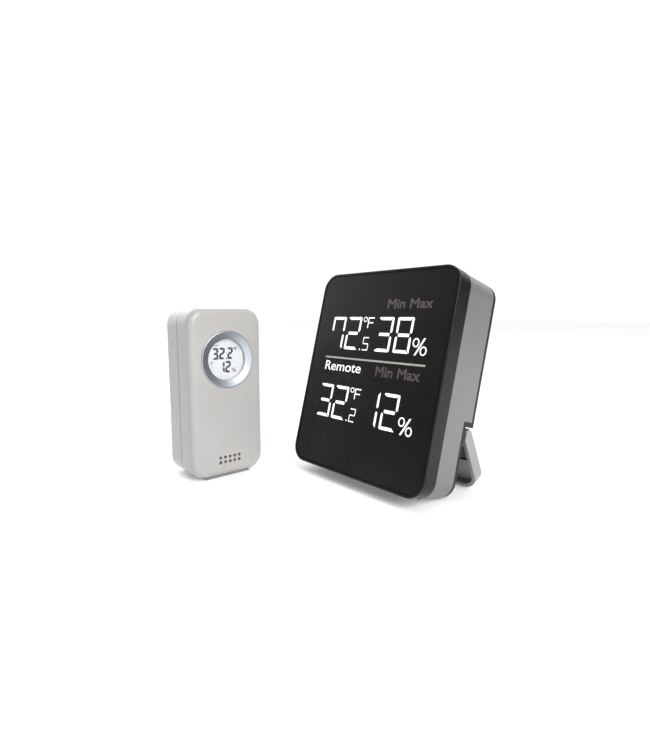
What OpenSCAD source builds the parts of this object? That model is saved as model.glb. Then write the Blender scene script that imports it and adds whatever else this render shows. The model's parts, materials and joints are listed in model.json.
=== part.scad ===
// Wireless maximum-minimum thermometer: a desk display leaning on a fold-out stand,
// and the separate remote sensor that stands beside it.
// Display pieces are drawn upright in the display's own space (X across, Y from the
// front face to the back, Z up the face) and then leaned back by in_display().
// Remote pieces use the same convention and are placed by in_remote().

/* [Display body] */
// Width of the display
body_w = 100; // [88:1:125]
// Height of the display, along its face
body_h = 118; // [106:1:145]
// Depth of the display at the top
body_d = 35.5; // [32:0.5:44]
// Corner radius of the display's outline
corner_r = 10; // [8:0.5:13]
// Depth of the black front housing
bezel_d = 10; // [9:0.5:12]
// Wall of every display housing
wall = 2; // [1.6:0.1:2.4]
// Lean of the display when it stands
lean = 14.4; // [10:0.2:17]

/* [Front panel and screen] */
// Width of the lip around the front panel
lip_w = 1.7; // [1.2:0.1:2.5]
// Thickness of the front panel
panel_t = 1.5; // [1:0.1:2]
// Width of the liquid crystal glass
lcd_w = 86; // [70:1:86]
// Height of the liquid crystal glass
lcd_h = 84; // [70:1:84]
// Thickness of the liquid crystal glass
lcd_t = 2.4; // [1.8:0.1:3]

/* [Stand] */
// Height of the recess that holds the folded stand
notch_h = 39.5; // [36:0.5:46]
// Depth of the recess that holds the folded stand
notch_d = 7.4; // [7:0.1:9]
// Radius of the two hinge pins
pin_r = 1.2; // [1:0.1:1.5]
// Height of the hinge axis below the top of the recess
pivot_drop = 3.8; // [3.8:0.1:5]
// Height of the black lip above the recess
step_lip = 2.7; // [1.8:0.1:3.2]
// Distance of each hinge ear from the middle
ear_x = 28; // [15:1:34]

/* [Batteries] */
// Radius of a cell
cell_r = 7.25; // [5.2:0.05:7.25]
// Length of a cell without its button
cell_len = 49; // [43:0.5:49]

/* [Buttons] */
// Radius of a push button
button_r = 3.6; // [2.8:0.1:4.2]
// Travel of a push button
button_travel = 0.8; // [0.4:0.1:1]
// Distance between the display's buttons
button_pitch = 18; // [13:1:22]

/* [Remote sensor] */
// Width of the remote
remote_w = 47; // [42:1:58]
// Height of the remote
remote_h = 98; // [94:1:120]
// Depth of the remote
remote_d = 31.5; // [30:0.5:40]
// Corner radius of the remote's outline
remote_r = 9; // [8:0.5:11]
// Rounding of the remote's front and back edges
remote_soft = 4; // [2:0.5:4.5]
// Depth of the remote's front shell
remote_split = 15; // [14.4:0.2:18]
// Wall of the remote's shells
remote_wall = 2.2; // [1.8:0.1:2.4]
// Outer radius of the ring around the remote's screen
ring_r = 16.5; // [14:0.5:17]
// Inner radius of the ring around the remote's screen
ring_inner_r = 12; // [10:0.5:12.5]
// Height of the ring's centre up the remote
ring_z = 68.5; // [60:0.5:72]
// Thickness of the steel plate under the remote
foot_t = 1.5; // [1:0.1:2]

/* [Set] */
// Gap between the display's left side and the remote's front, seen from the front
remote_gap = 10.5; // [8:0.5:60]
// Distance of the remote's middle in front of the display's lower front edge
remote_forward = 38; // [0:1:60]

/* [Hidden] */

round_fn = 64;
small_fn = 32;
cut = 1;
fit_gap = 0.15;
move_gap = 0.35;

// Display stack, front to back
panel_set = 0.3;
panel_y = panel_set + panel_t;
front_wall_y = panel_y + 0.2 + wall;
lcd_y = front_wall_y + 0.1;
light_y = lcd_y + lcd_t + 0.1;
light_t = 3;
board_y = light_y + light_t + 1.6;
board_t = 1.6;
seam = 0.3;
skin = 0.3;
skin_wall = 2;
low_d = body_d - notch_d;
base_r = 2.5;
band_y = body_d - skin_wall;
low_band_y = low_d - skin_wall;
band_z = notch_h + step_lip;
lcd_z = body_h / 2 + 4;
window_w = lcd_w - 4;
window_h = lcd_h - 4;

// Case screws of the display
boss_x = body_w / 2 - corner_r + 2.5;
boss_zs = [corner_r - 2.5, body_h - corner_r + 2.5];
boss_r = 3;
boss_y = 18;
screw_r = 1.15;
pilot_r = 1.2;
head_r = 2.3;
head_t = 1.6;
head_seat = 2;

// Battery bay of the display
cell_nub = 1.5;
bay_w = cell_len + cell_nub + 7.9;
bay_h = 4 * cell_r + 3;
bay_wall = 3;
bay_z = band_z + 3.8 + bay_h / 2;
door_t = 1.6;
door_y = body_d - 0.1 - door_t;
cell_y = door_y - 0.6 - cell_r;
bay_floor_y = cell_y - cell_r - 0.25;
bay_front_y = bay_floor_y - 1.4;
door_w = bay_w + 3;
door_h = bay_h + 3;
door_hinge_z = bay_z - door_h / 2 + door_t / 2;
cell_gap = 0.3;

// Buttons of the display
button_z = bay_z + bay_h / 2 + bay_wall + 10;
flange_t = 1.2;
button_in = body_d - 5;
button_proud = 0.8;
switch_t = 1.5;
button_board_y = button_in - button_travel - 0.35 - switch_t - 1.3;
key_z = body_h - 14;
key_r = 4.2;
key_slot_r = 2.1;
key_drop = 5;

// Stand, drawn folded and turned about its hinge
stand_in_y = low_d + move_gap;
stand_out_y = body_d - 0.05;
stand_t = stand_out_y - stand_in_y;
pivot_y = (stand_in_y + stand_out_y) / 2;
pivot_z = notch_h - pivot_drop;
stand_foot_z = 0.3;
stand_len = pivot_z - stand_foot_z;
stand_rim = 2.2;
stand_plate_t = 1.6;
stand_web_t = 3.2;
stand_web_h = 17;
rail_h = 5.6;
ear_w = 6;
ear_r = 2.6;
knuckle = 4;

// The display rests on its rounded lower rear edge
rest_lift = 0.3;
base_z = rest_lift + base_r + (low_d - base_r) * sin(lean) - base_r * cos(lean);
pivot_up = base_z + pivot_z * cos(lean) - pivot_y * sin(lean);
stand_half = stand_t / 2;
stand_reach = sqrt(stand_len * stand_len + stand_half * stand_half);
stand_tilt = atan(stand_half / stand_len) + acos(pivot_up / stand_reach);
stand_open = stand_tilt + lean;

// Rubber feet under the display
pad_w = 16;
pad_l = 7;
pad_x = body_w / 2 - 22;
pad_y = low_d - base_r - pad_l;

// Remote stack, front to back
remote_seam = 0.8;
remote_back_y = remote_split + remote_seam;
remote_skin = 0.4;
remote_lcd_y = remote_wall + 0.5;
remote_lcd_t = 1.8;
remote_board_y = remote_lcd_y + remote_lcd_t + 2.4;
remote_door_y = remote_d - 0.1 - door_t;
remote_cell_y = remote_door_y - 0.5 - cell_r;
remote_bay_y = remote_cell_y - cell_r - 0.25;
remote_bay_w = 4 * cell_r + 2;
remote_bay_h = cell_len + cell_nub + 7.9;
remote_bay_z = 47;
remote_bay_wall = 1.6;
remote_door_w = remote_bay_w + 1.6;
remote_door_h = remote_bay_h + 3;
remote_door_hinge_z = remote_bay_z - remote_door_h / 2 + door_t / 2;
remote_boss_x = remote_w / 2 - remote_r + 2;
remote_boss_zs = [remote_r - 2, remote_h - remote_r + 2];
remote_boss_r = 2.7;
remote_boss_y = remote_split - 1.5;
remote_button_x = -remote_w / 4;
remote_button_z = remote_h - 14;
remote_button_r = 2.6;
remote_key_z = remote_h - 9;
vent_z = 9.5;
vent_pitch = 3.1;
vent_row = 2.8;
vent_r = 0.95;
foot_w = remote_w - 2 * remote_r;
foot_l = 20;
foot_y = 3;

// The set's origin is the middle of its base
remote_x = -body_w / 2 - remote_gap;
set_x = (remote_x - remote_d + body_w / 2) / 2;
set_y_front = -remote_forward - remote_w / 2;
set_y_back = body_h * sin(lean) + body_d * cos(lean);
set_y = (set_y_front + set_y_back) / 2;

module in_display() {
    translate([-set_x, -set_y, base_z]) rotate([-lean, 0, 0]) children();
}

module in_stand() {
    in_display() translate([0, pivot_y, pivot_z]) rotate([stand_open, 0, 0])
        translate([0, -pivot_y, -pivot_z]) children();
}

module in_remote() {
    translate([remote_x - set_x, -remote_forward - set_y, foot_t]) rotate([0, 0, 90]) children();
}

// ---- shared shapes ----

module rounded_rect(w, h, r) {
    square([w - 2 * r, h], center = true);
    square([w, h - 2 * r], center = true);
    for (sx = [-1, 1], sy = [-1, 1])
        translate([sx * (w / 2 - r), sy * (h / 2 - r)]) circle(r = r, $fn = round_fn);
}

// Upright plate with rounded corners, from depth y0 to y1, centred at height zc
module plate(w, h, r, y0, y1, zc) {
    translate([0, y1, zc]) rotate([90, 0, 0]) linear_extrude(y1 - y0) rounded_rect(w, h, r);
}

// Upright rectangular block, centred on x and height zc
module block(w, h, y0, y1, zc, x = 0) {
    translate([x - w / 2, y0, zc - h / 2]) cube([w, y1 - y0, h]);
}

// Round bar along the depth
module rod(r, y0, y1, x, z, fn = small_fn) {
    translate([x, y0, z]) rotate([-90, 0, 0]) cylinder(r = r, h = y1 - y0, $fn = fn);
}

// Extrudes a side view, drawn as depth and height, across the width
module across(w) {
    translate([-w / 2, 0, 0]) rotate([90, 0, 90]) linear_extrude(w) children();
}

// Outline of the display from the front, shrunk by inset, from depth y0 to y1
module outline(inset, y0, y1) {
    plate(body_w - 2 * inset, body_h - 2 * inset, corner_r - inset, y0, y1, body_h / 2);
}

module remote_outline(inset, y0, y1) {
    plate(remote_w - 2 * inset, remote_h - 2 * inset, remote_r - inset, y0, y1, remote_h / 2);
}

// Side view of a bar whose two front edges are rounded by soft
module soft_bar(w, depth, soft) {
    translate([-w / 2 + soft, 0]) square([w - 2 * soft, depth]);
    translate([-w / 2, soft]) square([w, depth - soft]);
    for (sx = [-1, 1]) translate([sx * (w / 2 - soft), soft]) circle(r = soft, $fn = round_fn);
}

// Upright block with rounded corners and a rounded front edge, y from 0 to depth
module soft_block(w, h, r, depth, soft) {
    translate([0, 0, r - h / 2]) linear_extrude(h - 2 * r) soft_bar(w, depth, soft);
    rotate([0, 90, 0]) translate([0, 0, r - w / 2]) linear_extrude(w - 2 * r)
        soft_bar(h, depth, soft);
    for (sx = [-1, 1], sz = [-1, 1])
        translate([sx * (w / 2 - r), 0, sz * (h / 2 - r)]) rotate([-90, 0, 0])
            rotate_extrude($fn = round_fn) intersection() {
                soft_bar(2 * r, depth, soft);
                square([r, depth]);
            }
}

// Coil of round wire, from radius r0 to r1 over length h, standing along +Z
module coil(r0, r1, h, turns, wire) {
    steps = 14;
    sides = 6;
    n = turns * steps;
    points = [for (i = [0 : n], k = [0 : sides - 1])
        let (a = 360 * i / steps, r = r0 + (r1 - r0) * i / n, b = 360 * k / sides)
        [(r + wire * cos(b)) * cos(a), (r + wire * cos(b)) * sin(a),
            wire + (h - 2 * wire) * i / n + wire * sin(b)]];
    walls = [for (i = [0 : n - 1], k = [0 : sides - 1])
        let (j = (k + 1) % sides)
        [i * sides + k, (i + 1) * sides + k, (i + 1) * sides + j, i * sides + j]];
    caps = [[for (k = [0 : sides - 1]) k], [for (k = [sides - 1 : -1 : 0]) n * sides + k]];
    polyhedron(points, concat(walls, caps));
}

// Cell lying along +X with its button end at +X, its middle at the origin
module cell() {
    translate([-(cell_len + cell_nub) / 2, 0, 0]) rotate([0, 90, 0]) {
        cylinder(r = cell_r, h = cell_len, $fn = round_fn);
        cylinder(r = 2.7, h = cell_len + cell_nub, $fn = small_fn);
    }
}

// Screw along the depth: head at y, shank towards the front
module screw(x, z, y, len, r = screw_r, hr = head_r, ht = head_t) {
    rod(r, y - len, y + ht / 2, x, z);
    difference() {
        rod(hr, y, y + ht, x, z);
        block(0.6, 2 * hr - 1.2, y + ht - 0.7, y + ht + cut, z, x);
        block(2 * hr - 1.2, 0.6, y + ht - 0.7, y + ht + cut, z, x);
    }
}

// Keyhole: a round entry for a screw head, with a slot above it
module keyhole(y0, y1, z) {
    rod(key_r, y0, y1, 0, z);
    rod(key_slot_r, y0, y1, 0, z + key_drop);
    block(2 * key_slot_r, key_drop, y0, y1, z + key_drop / 2);
}

// Side view of the whole display, shrunk by inset and by lip above the recess
module side_view(inset, lip) {
    low = low_d - inset;
    r = base_r;
    difference() {
        union() {
            square([low, notch_h + lip + cut]);
            translate([0, notch_h + lip]) square([body_d - inset, body_h - notch_h]);
        }
        translate([low_d - r, -cut]) difference() {
            square([r + cut, r + cut]);
            translate([0, r + cut]) circle(r = r, $fn = round_fn);
        }
    }
}

module display_bosses(r, y0, y1) {
    for (sx = [-1, 1], z = boss_zs) rod(r, y0, y1, sx * boss_x, z);
}

module remote_bosses(r, y0, y1) {
    for (sx = [-1, 1], z = remote_boss_zs) rod(r, y0, y1, sx * remote_boss_x, z);
}

// ---- display housings ----

module front_panel() {
    color([0.05, 0.05, 0.055]) in_display() outline(lip_w + 0.1, panel_set, panel_y);
}

board_post_x = 30;
board_post_zs = [lcd_z - lcd_h / 2 - 6.6, lcd_z + lcd_h / 2 + 5.2];

module front_housing() {
    color([0.09, 0.09, 0.095]) in_display() difference() {
        union() {
            difference() {
                translate([0, 0, body_h / 2]) soft_block(body_w, body_h, corner_r, bezel_d, 0.9);
                outline(lip_w, -cut, panel_y + 0.2);
                outline(wall, front_wall_y, bezel_d + cut);
            }
            difference() {
                outline(skin + wall + fit_gap, bezel_d - 3, bezel_d + 3);
                outline(skin + wall + fit_gap + 1.2, bezel_d - 3 - cut, bezel_d + 3 + cut);
            }
            display_bosses(boss_r, front_wall_y - 0.5, boss_y - 0.1);
            for (sx = [-1, 1], z = board_post_zs)
                rod(2.2, front_wall_y - 0.5, board_y - 0.05, sx * board_post_x, z);
        }
        block(window_w, window_h, 0, front_wall_y + cut, lcd_z);
        display_bosses(pilot_r, front_wall_y + 1, boss_y + cut);
        for (sx = [-1, 1], z = board_post_zs)
            rod(0.9, front_wall_y + 1, board_y + cut, sx * board_post_x, z);
    }
}

module side_frame() {
    color([0.66, 0.66, 0.67]) in_display() difference() {
        intersection() {
            outline(skin, bezel_d + seam, body_d);
            across(body_w) side_view(skin_wall + 0.02, step_lip + 0.02);
        }
        outline(skin + wall, bezel_d, body_d + cut);
    }
}

module hinge_ears(bore) {
    for (sx = [-1, 1]) translate([sx * ear_x, 0, 0]) difference() {
        union() {
            block(ear_w, pivot_drop + ear_r, low_d - 1, pivot_y, pivot_z + (pivot_drop - ear_r) / 2 + 0.5);
            translate([-ear_w / 2, pivot_y, pivot_z]) rotate([0, 90, 0])
                cylinder(r = ear_r, h = ear_w, $fn = round_fn);
        }
        translate([-ear_w, pivot_y, pivot_z]) rotate([0, 90, 0])
            cylinder(r = bore, h = 2 * ear_w, $fn = round_fn);
    }
}

module back_band() {
    intersection() {
        outline(skin, bezel_d + 5, body_d + cut);
        across(body_w) difference() {
            side_view(0, 0);
            difference() {
                side_view(skin_wall, step_lip);
                translate([0, -cut]) square([low_band_y - 6, cut]);
            }
            translate([-cut, -cut]) square([low_band_y + cut, band_z]);
        }
    }
}

module back_lip() {
    inner = skin + wall + fit_gap;
    difference() {
        outline(inner, band_y - 3, band_y + 0.5);
        outline(inner + 1.2, band_y - 3 - cut, band_y + cut);
        block(body_w, 2 * band_z, 0, body_d, 0);
    }
}

vent_slots = 5;

module back_cover() {
    color([0.1, 0.1, 0.105]) in_display() difference() {
        union() {
            back_band();
            back_lip();
            hinge_ears(pin_r + 0.05);
            block(bay_w + 2 * bay_wall, bay_h + 2 * bay_wall, bay_front_y, band_y + 0.5, bay_z);
            for (sx = [-1, 1]) {
                rod(boss_r + 0.4, boss_y, low_band_y + 0.5, sx * boss_x, boss_zs[0]);
                rod(boss_r + 0.4, boss_y, band_y + 0.5, sx * boss_x, boss_zs[1]);
                rod(2, button_board_y + 1.05, band_y + 0.5, sx * (button_pitch + 9), button_z);
            }
            block(2 * key_r + 6, 2 * key_r + key_drop + 4, body_d - 6, band_y + 0.5,
                key_z + key_drop / 2 - 1);
        }
        block(bay_w, bay_h, bay_floor_y, body_d + cut, bay_z);
        plate(door_w + 2 * move_gap, door_h + 2 * move_gap, 1, door_y - 0.25, body_d + cut, bay_z);
        for (sx = [-1, 1], z = boss_zs) {
            rod(head_r + 0.4, boss_y + head_seat, body_d + cut, sx * boss_x, z);
            rod(screw_r + 0.15, boss_y - cut, body_d, sx * boss_x, z);
        }
        for (i = [-1 : 1]) rod(button_r + move_gap, band_y - cut, body_d + cut, i * button_pitch, button_z);
        for (sx = [-1, 1]) rod(0.8, button_board_y, band_y - 1, sx * (button_pitch + 9), button_z);
        keyhole(body_d - 2, body_d + cut, key_z);
        block(2 * key_r + 3, 2 * key_r + key_drop + 0.6, body_d - 5, body_d - 1.6, key_z + key_drop / 2 - 1);
        for (sx = [-1, 1], i = [0 : vent_slots - 1])
            block(6, 1.2, band_y - cut, body_d + cut, bay_z + (i - 2) * 3, sx * (bay_w / 2 + 11));
    }
}

// ---- display inner pieces ----

module lcd_glass() {
    color([0.12, 0.13, 0.13]) in_display() {
        block(lcd_w, lcd_h, lcd_y, lcd_y + lcd_t / 2, lcd_z);
        block(lcd_w, lcd_h - 5, lcd_y + lcd_t / 2, lcd_y + lcd_t, lcd_z);
    }
}

module backlight() {
    color([0.93, 0.95, 0.96]) in_display() block(lcd_w - 2, lcd_h - 8, light_y, light_y + light_t, lcd_z);
}

module lcd_holder() {
    color([0.9, 0.9, 0.88]) in_display() difference() {
        block(lcd_w + 3.4, lcd_h + 3.4, lcd_y + 0.2, board_y - 0.05, lcd_z);
        block(lcd_w + 0.4, lcd_h + 0.4, 0, lcd_y + lcd_t + 0.05, lcd_z);
        block(lcd_w - 1.4, lcd_h - 0.6, 0, body_d, lcd_z);
    }
}

strip_t = 2;

module contact_strips() {
    color([0.85, 0.45, 0.55]) in_display() for (sz = [-1, 1])
        block(lcd_w - 10, strip_t, lcd_y + lcd_t / 2 + 0.05, board_y - 0.05, lcd_z + sz * (lcd_h / 2 - 1.4));
}

board_w = body_w - 12;
board_z0 = board_post_zs[0] - 3.5;
board_z1 = board_post_zs[1] + 3.5;

module main_board() {
    color([0.05, 0.35, 0.16]) in_display() difference() {
        block(board_w, board_z1 - board_z0, board_y, board_y + board_t, (board_z0 + board_z1) / 2);
        for (sx = [-1, 1], i = [0, 1])
            block(10, 10, 0, body_d, boss_zs[i] + (2 * i - 1) * (4.5 - boss_r), sx * (boss_x + 4.5 - boss_r));
        for (sx = [-1, 1], z = board_post_zs) rod(1.2, 0, body_d, sx * board_post_x, z);
    }
}

chip_y = board_y + board_t + 0.02;

module board_chips() {
    color([0.04, 0.04, 0.045]) in_display() {
        rod(6, chip_y, chip_y + 1.4, -12, lcd_z - 20, round_fn);
        block(9, 9, chip_y, chip_y + 1.4, lcd_z + 30, -26);
        block(8, 3, chip_y, chip_y + 1.4, lcd_z - 36, 22);
        for (i = [0 : 4]) block(2.4, 1.3, chip_y, chip_y + 1, lcd_z + 24 + i * 3, 4);
    }
}

radio_x = board_w / 2 - 14;
radio_z = lcd_z + 28;

module radio_module() {
    color([0.1, 0.3, 0.55]) in_display() {
        block(17, 12, chip_y + 0.6, chip_y + 1.6, radio_z, radio_x);
        block(6, 6, chip_y + 1.6, chip_y + 2.6, radio_z, radio_x - 3);
        for (i = [-2 : 2]) rod(0.3, chip_y, chip_y + 0.7, radio_x + i * 2.5, radio_z - 4.8, 16);
    }
}

module antenna_wire() {
    color([0.75, 0.45, 0.25]) in_display()
        translate([radio_x + 4, chip_y + 2.3, radio_z + 4]) {
            cylinder(r = 0.5, h = 8, $fn = 16);
            translate([-3, 0, 8]) rotate([90, 0, 0]) rotate_extrude(angle = 90, $fn = small_fn)
                translate([3, 0]) circle(r = 0.5, $fn = 16);
            translate([-3, 0, 11]) rotate([0, -90, 0]) cylinder(r = 0.5, h = 48, $fn = 16);
        }
}

sensor_x = bay_w / 2 + 11;

module room_sensor() {
    color([0.92, 0.92, 0.9]) in_display() difference() {
        block(6, 12, chip_y, chip_y + 5, bay_z, sensor_x);
        for (i = [-1 : 1]) block(4, 1.4, chip_y + 4, chip_y + 6, bay_z + i * 3, sensor_x);
    }
}

module board_screws() {
    color([0.72, 0.72, 0.74]) in_display() for (sx = [-1, 1], z = board_post_zs)
        screw(sx * board_post_x, z, board_y + board_t + 0.05, 5, 0.85, 2, 1.2);
}

contact_t = 0.4;

module battery_contacts() {
    color([0.8, 0.8, 0.78]) in_display() {
        for (sz = [-1, 1]) block(contact_t, 11, cell_y - 5, cell_y + 5,
            bay_z + sz * (cell_r + cell_gap / 2 + 0.1),
            sz * (bay_w / 2 - contact_t / 2 - 0.05));
        block(contact_t, 2 * cell_r + 11, cell_y - 5, cell_y - 4, bay_z,
            -bay_w / 2 + contact_t / 2 + 0.5);
    }
}

spring_len = (bay_w - cell_len - cell_nub) - 2 * contact_t - 0.9;

module battery_springs() {
    color([0.82, 0.82, 0.8]) in_display() for (sz = [-1, 1])
        translate([-sz * (bay_w / 2 - 0.1), cell_y, bay_z + sz * (cell_r + cell_gap / 2 + 0.1)])
            rotate([0, sz * 90, 0]) coil(4.2, 2.2, spring_len, 4, 0.4);
}

module display_cell(sz) {
    in_display() translate([sz * (bay_w / 2 - contact_t - 0.2 - (cell_len + cell_nub) / 2), cell_y,
        bay_z + sz * (cell_r + cell_gap / 2 + 0.1)]) rotate([0, 0, sz > 0 ? 0 : 180]) cell();
}

module upper_cell() {
    color([0.85, 0.6, 0.2]) display_cell(1);
}

module lower_cell() {
    color([0.85, 0.6, 0.2]) display_cell(-1);
}

// Battery door with a round lower edge that it turns on, and grip ribs near its top
module door(w, h, y, zc) {
    half = door_t / 2;
    translate([-w / 2, y + half, zc - h / 2 + half]) rotate([0, 90, 0])
        cylinder(r = half, h = w, $fn = small_fn);
    block(w, h - half, y, y + door_t, zc + half / 2);
    for (i = [0 : 2]) block(w / 3, 0.8, y + half, y + door_t + 0.5, zc + h / 2 - 3 - i * 1.8);
}

module battery_door() {
    color([0.11, 0.11, 0.115]) in_display() door(door_w, door_h, door_y, bay_z);
}

// ---- display buttons ----

module button_board() {
    color([0.05, 0.35, 0.16]) in_display() difference() {
        block(2 * button_pitch + 24, 9, button_board_y, button_board_y + 1, button_z);
        for (sx = [-1, 1]) rod(1, 0, body_d, sx * (button_pitch + 9), button_z);
    }
}

module switch_body(x, z, y) {
    block(5, 5, y, y + switch_t, z, x);
    rod(1.4, y + switch_t - 0.2, y + switch_t + 0.25, x, z);
}

module button_switches() {
    color([0.2, 0.2, 0.22]) in_display() for (i = [-1 : 1])
        switch_body(i * button_pitch, button_z, button_board_y + 1.02);
}

module button_cap(x, z, r, y_in, plate_y, y_out) {
    rod(r + 1.1, y_in, y_in + flange_t, x, z, round_fn);
    rod(r, y_in, y_out, x, z, round_fn);
}

module display_button(i) {
    color([0.2, 0.2, 0.21]) in_display()
        button_cap(i * button_pitch, button_z, button_r, button_in, band_y, body_d + button_proud);
}

module max_min_button() {
    display_button(-1);
}

module clear_button() {
    display_button(0);
}

module unit_button() {
    display_button(1);
}

module case_screws() {
    color([0.72, 0.72, 0.74]) in_display() for (sx = [-1, 1], z = boss_zs)
        screw(sx * boss_x, z, boss_y + head_seat + 0.05, 9);
}

// Two rubber feet whose undersides are level when the display leans back
module rubber_feet() {
    color([0.07, 0.07, 0.07]) intersection() {
        in_display() for (sx = [-1, 1])
            translate([sx * pad_x - pad_w / 2, pad_y, -5]) cube([pad_w, pad_l, 5 + skin - 0.02]);
        translate([-body_w, -body_w, 0]) cube([2 * body_w, 2 * body_w, body_h]);
    }
}

// ---- stand ----

module stand_side() {
    top = 2.4;
    polygon([
        [stand_in_y, stand_foot_z],
        [stand_out_y, stand_foot_z],
        [stand_out_y, pivot_z - 0.3],
        [pivot_y + 2.4, pivot_z + top],
        [pivot_y - 0.4, pivot_z + top],
        [stand_in_y, pivot_z - 1.5]
    ]);
}

stand_inset = skin;
stand_bottom_zc = (stand_foot_z + notch_h + corner_r) / 2;

// Outline of the stand from the front, shrunk by inset; its lower corners follow the display's
module stand_outline(inset, y0, y1) {
    h = notch_h + corner_r - stand_foot_z;
    plate(body_w - 2 * (stand_inset + inset), h - 2 * inset, corner_r - stand_inset - inset,
        y0, y1, stand_bottom_zc);
}

stand_hole_w = body_w - 2 * stand_inset - 2 * stand_rim - 8;
stand_hole_top = pivot_z - rail_h - 1.5;
stand_hole_bottom = stand_web_h + 1.5;

module stand_frame() {
    color([0.66, 0.66, 0.67]) in_stand() difference() {
        intersection() {
            across(body_w) stand_side();
            stand_outline(0, 0, body_d);
        }
        difference() {
            stand_outline(stand_rim, low_d - cut, stand_out_y - stand_plate_t);
            block(body_w, 2 * notch_h, 0, body_d, pivot_z - rail_h + notch_h);
            block(body_w, stand_web_h, stand_out_y - stand_web_t, body_d, stand_web_h / 2);
        }
        block(stand_hole_w, stand_hole_top - stand_hole_bottom, 0, body_d + cut,
            (stand_hole_top + stand_hole_bottom) / 2);
        for (sx = [-1, 1]) {
            block(ear_w + 0.8, ear_r + 4, 0, body_d + cut, pivot_z + (4 - ear_r) / 2 - 0.3, sx * ear_x);
            translate([sx * ear_x - ear_w / 2 - knuckle - 0.5, pivot_y, pivot_z]) rotate([0, 90, 0])
                cylinder(r = pin_r + 0.02, h = ear_w + 2 * knuckle + 1, $fn = round_fn);
        }
    }
}

module stand_panel() {
    lip_y = stand_out_y - stand_plate_t - 0.02;
    top = pivot_z - rail_h - 0.1;
    bottom = stand_web_h + 0.1;
    color([0.08, 0.08, 0.085]) in_stand() {
        block(body_w - 2 * (stand_inset + stand_rim) - 0.2, top - bottom, lip_y - 0.8, lip_y,
            (top + bottom) / 2);
        block(stand_hole_w - 0.1, stand_hole_top - stand_hole_bottom - 0.1, lip_y - 0.4, stand_out_y - 0.15,
            (stand_hole_top + stand_hole_bottom) / 2);
    }
}

module stand_pins() {
    color([0.75, 0.75, 0.77]) in_stand() for (sx = [-1, 1])
        translate([sx * ear_x - ear_w / 2 - knuckle, pivot_y, pivot_z]) rotate([0, 90, 0])
            cylinder(r = pin_r, h = ear_w + 2 * knuckle, $fn = round_fn);
}

// ---- remote housings ----

module remote_front_shell() {
    color([0.74, 0.73, 0.71]) in_remote() difference() {
        union() {
            difference() {
                translate([0, 0, remote_h / 2])
                    soft_block(remote_w, remote_h, remote_r, remote_split, remote_soft);
                remote_outline(remote_wall, remote_wall, remote_split + cut);
            }
            remote_bosses(remote_boss_r, remote_wall - 0.5, remote_boss_y - 0.1);
            for (z = remote_post_zs) rod(2, remote_wall - 0.5, remote_board_y - 0.05, 0, z);
        }
        rod(ring_r + fit_gap, -cut, 1.5, 0, ring_z, round_fn);
        rod(ring_inner_r + 0.3, 0, remote_wall + cut, 0, ring_z, round_fn);
        for (i = [-2 : 2], j = [-1, 1])
            rod(vent_r, -cut, remote_wall + cut, i * vent_pitch, vent_z + j * vent_row / 2, 16);
        remote_bosses(pilot_r, remote_wall + 1, remote_boss_y + cut);
        for (z = remote_post_zs) rod(0.9, remote_wall + 1, remote_board_y + cut, 0, z);
    }
}

module remote_rear_shell() {
    depth = remote_d - remote_back_y;
    bay_front = remote_bay_y - 1.2;
    color([0.72, 0.7, 0.69]) in_remote() difference() {
        union() {
            difference() {
                translate([0, remote_d, remote_h / 2]) mirror([0, 1, 0])
                    soft_block(remote_w - 2 * remote_skin, remote_h - 2 * remote_skin,
                        remote_r - remote_skin, depth, remote_soft - 1);
                remote_outline(remote_skin + remote_wall, remote_back_y - cut, remote_d - remote_wall);
            }
            difference() {
                remote_outline(remote_wall + fit_gap, remote_back_y - 2.2, remote_back_y + 3);
                remote_outline(remote_wall + fit_gap + 1.2, remote_back_y - 3, remote_back_y + 4);
            }
            block(remote_bay_w + 2 * remote_bay_wall, remote_bay_h + 2 * bay_wall, bay_front,
                remote_d - remote_wall + 0.5, remote_bay_z);
            remote_bosses(remote_boss_r + 0.3, remote_boss_y, remote_d - remote_wall + 0.5);
            block(2 * key_r + 5, 2 * key_slot_r + key_drop + 5.5, remote_d - 6, remote_d - 1.5,
                remote_key_z - 0.6);
        }
        block(remote_bay_w, remote_bay_h, remote_bay_y, remote_d + cut, remote_bay_z);
        plate(remote_door_w + 2 * move_gap, remote_door_h + 2 * move_gap, 1, remote_door_y - 0.25,
            remote_d + cut, remote_bay_z);
        remote_bosses(head_r + 0.3, remote_boss_y + head_seat, remote_d + cut);
        remote_bosses(screw_r + 0.15, remote_boss_y - cut, remote_d);
        rod(remote_button_r + move_gap, remote_d - 5, remote_d + cut, remote_button_x, remote_button_z);
        rod(3.4, remote_d - 2, remote_d + cut, 0, remote_key_z - 2.6);
        rod(1.8, remote_d - 2, remote_d + cut, 0, remote_key_z + 1.8);
        block(3.6, 4.4, remote_d - 2, remote_d + cut, remote_key_z - 0.4);
        block(8.4, 10.4, remote_d - 5, remote_d - 1.6, remote_key_z - 0.8);
    }
}

remote_post_zs = [remote_h - 7.5, 16];

// Bevelled ring that holds the remote's lens
module remote_ring() {
    color([0.75, 0.77, 0.8]) in_remote() translate([0, 0, ring_z]) rotate([-90, 0, 0])
        rotate_extrude($fn = round_fn) polygon([
            [ring_inner_r, 1.45],
            [ring_inner_r, 0.7],
            [ring_r - 0.5, -0.5],
            [ring_r, -0.3],
            [ring_r, 1.45]
        ]);
}

module remote_lens() {
    color([0.8, 0.83, 0.85, 0.5]) in_remote() rod(ring_inner_r - 0.05, 0.85, 1.45, 0, ring_z, round_fn);
}

remote_lcd_size = 2 * ring_inner_r + 2;

module remote_lcd() {
    color([0.72, 0.75, 0.74]) in_remote()
        block(remote_lcd_size, remote_lcd_size, remote_lcd_y, remote_lcd_y + remote_lcd_t, ring_z);
}

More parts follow.
